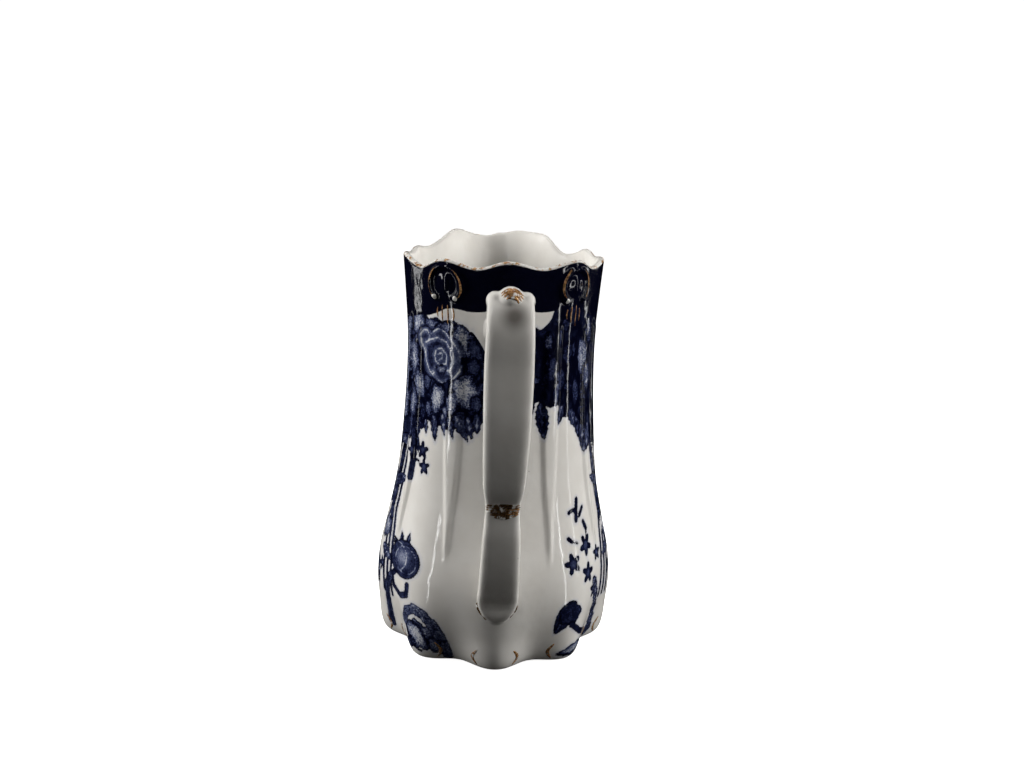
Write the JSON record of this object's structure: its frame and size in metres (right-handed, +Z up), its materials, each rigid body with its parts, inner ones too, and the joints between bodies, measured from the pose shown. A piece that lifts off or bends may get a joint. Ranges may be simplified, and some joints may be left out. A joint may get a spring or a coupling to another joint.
{
  "type": "cream jug",
  "caption": "Tall fluted porcelain cream jug with a scalloped rim, pouring lip, broken-scroll strap handle, cobalt print and worn gilding.",
  "frame": {"origin": "centre of the bounding box on the surface the jug stands on", "axes": "+Z up, handle towards -Y, pouring lip towards +Y, +X to the right seen from the handle side"},
  "size_m": [0.0738, 0.1053, 0.1262],
  "materials": {
    "body_porcelain": "high-gloss clear glaze over white porcelain, with a cobalt rim band and blurred blue rose transfer print",
    "handle_porcelain": "high-gloss clear glaze over plain white porcelain",
    "slip": "smoothed slip under the same clear glaze",
    "gilding": "hand-painted overglaze gold, worn thin"
  },
  "bodies": {
    "root": {"jug_body": "body_porcelain", "handle": "handle_porcelain", "slip_joint_upper": "slip", "slip_joint_lower": "slip", "gilded_rim_line": "gilding", "gilded_loop_1": "gilding", "gilded_loop_2": "gilding", "gilded_loop_3": "gilding", "gilded_loop_4": "gilding", "gilded_fringe_1": "gilding", "gilded_fringe_2": "gilding", "gilded_fringe_3": "gilding", "gilded_fringe_4": "gilding", "gilded_foot_scroll_1_left": "gilding", "gilded_foot_scroll_1_right": "gilding", "gilded_foot_scroll_2_left": "gilding", "gilded_foot_scroll_2_right": "gilding", "gilded_foot_scroll_3_left": "gilding", "gilded_foot_scroll_3_right": "gilding", "gilded_foot_scroll_4_left": "gilding", "gilded_foot_scroll_4_right": "gilding", "gilded_foot_scroll_5_left": "gilding", "gilded_foot_scroll_5_right": "gilding", "gilded_foot_scroll_6_left": "gilding", "gilded_foot_scroll_6_right": "gilding", "gilded_foot_scroll_7_left": "gilding", "gilded_foot_scroll_7_right": "gilding", "gilded_foot_scroll_8_left": "gilding", "gilded_foot_scroll_8_right": "gilding", "gilded_thumb_rest": "gilding", "gilded_knuckle": "gilding", "gilded_handle_end_left": "gilding", "gilded_handle_end_right": "gilding"}
  },
  "joints": []
}
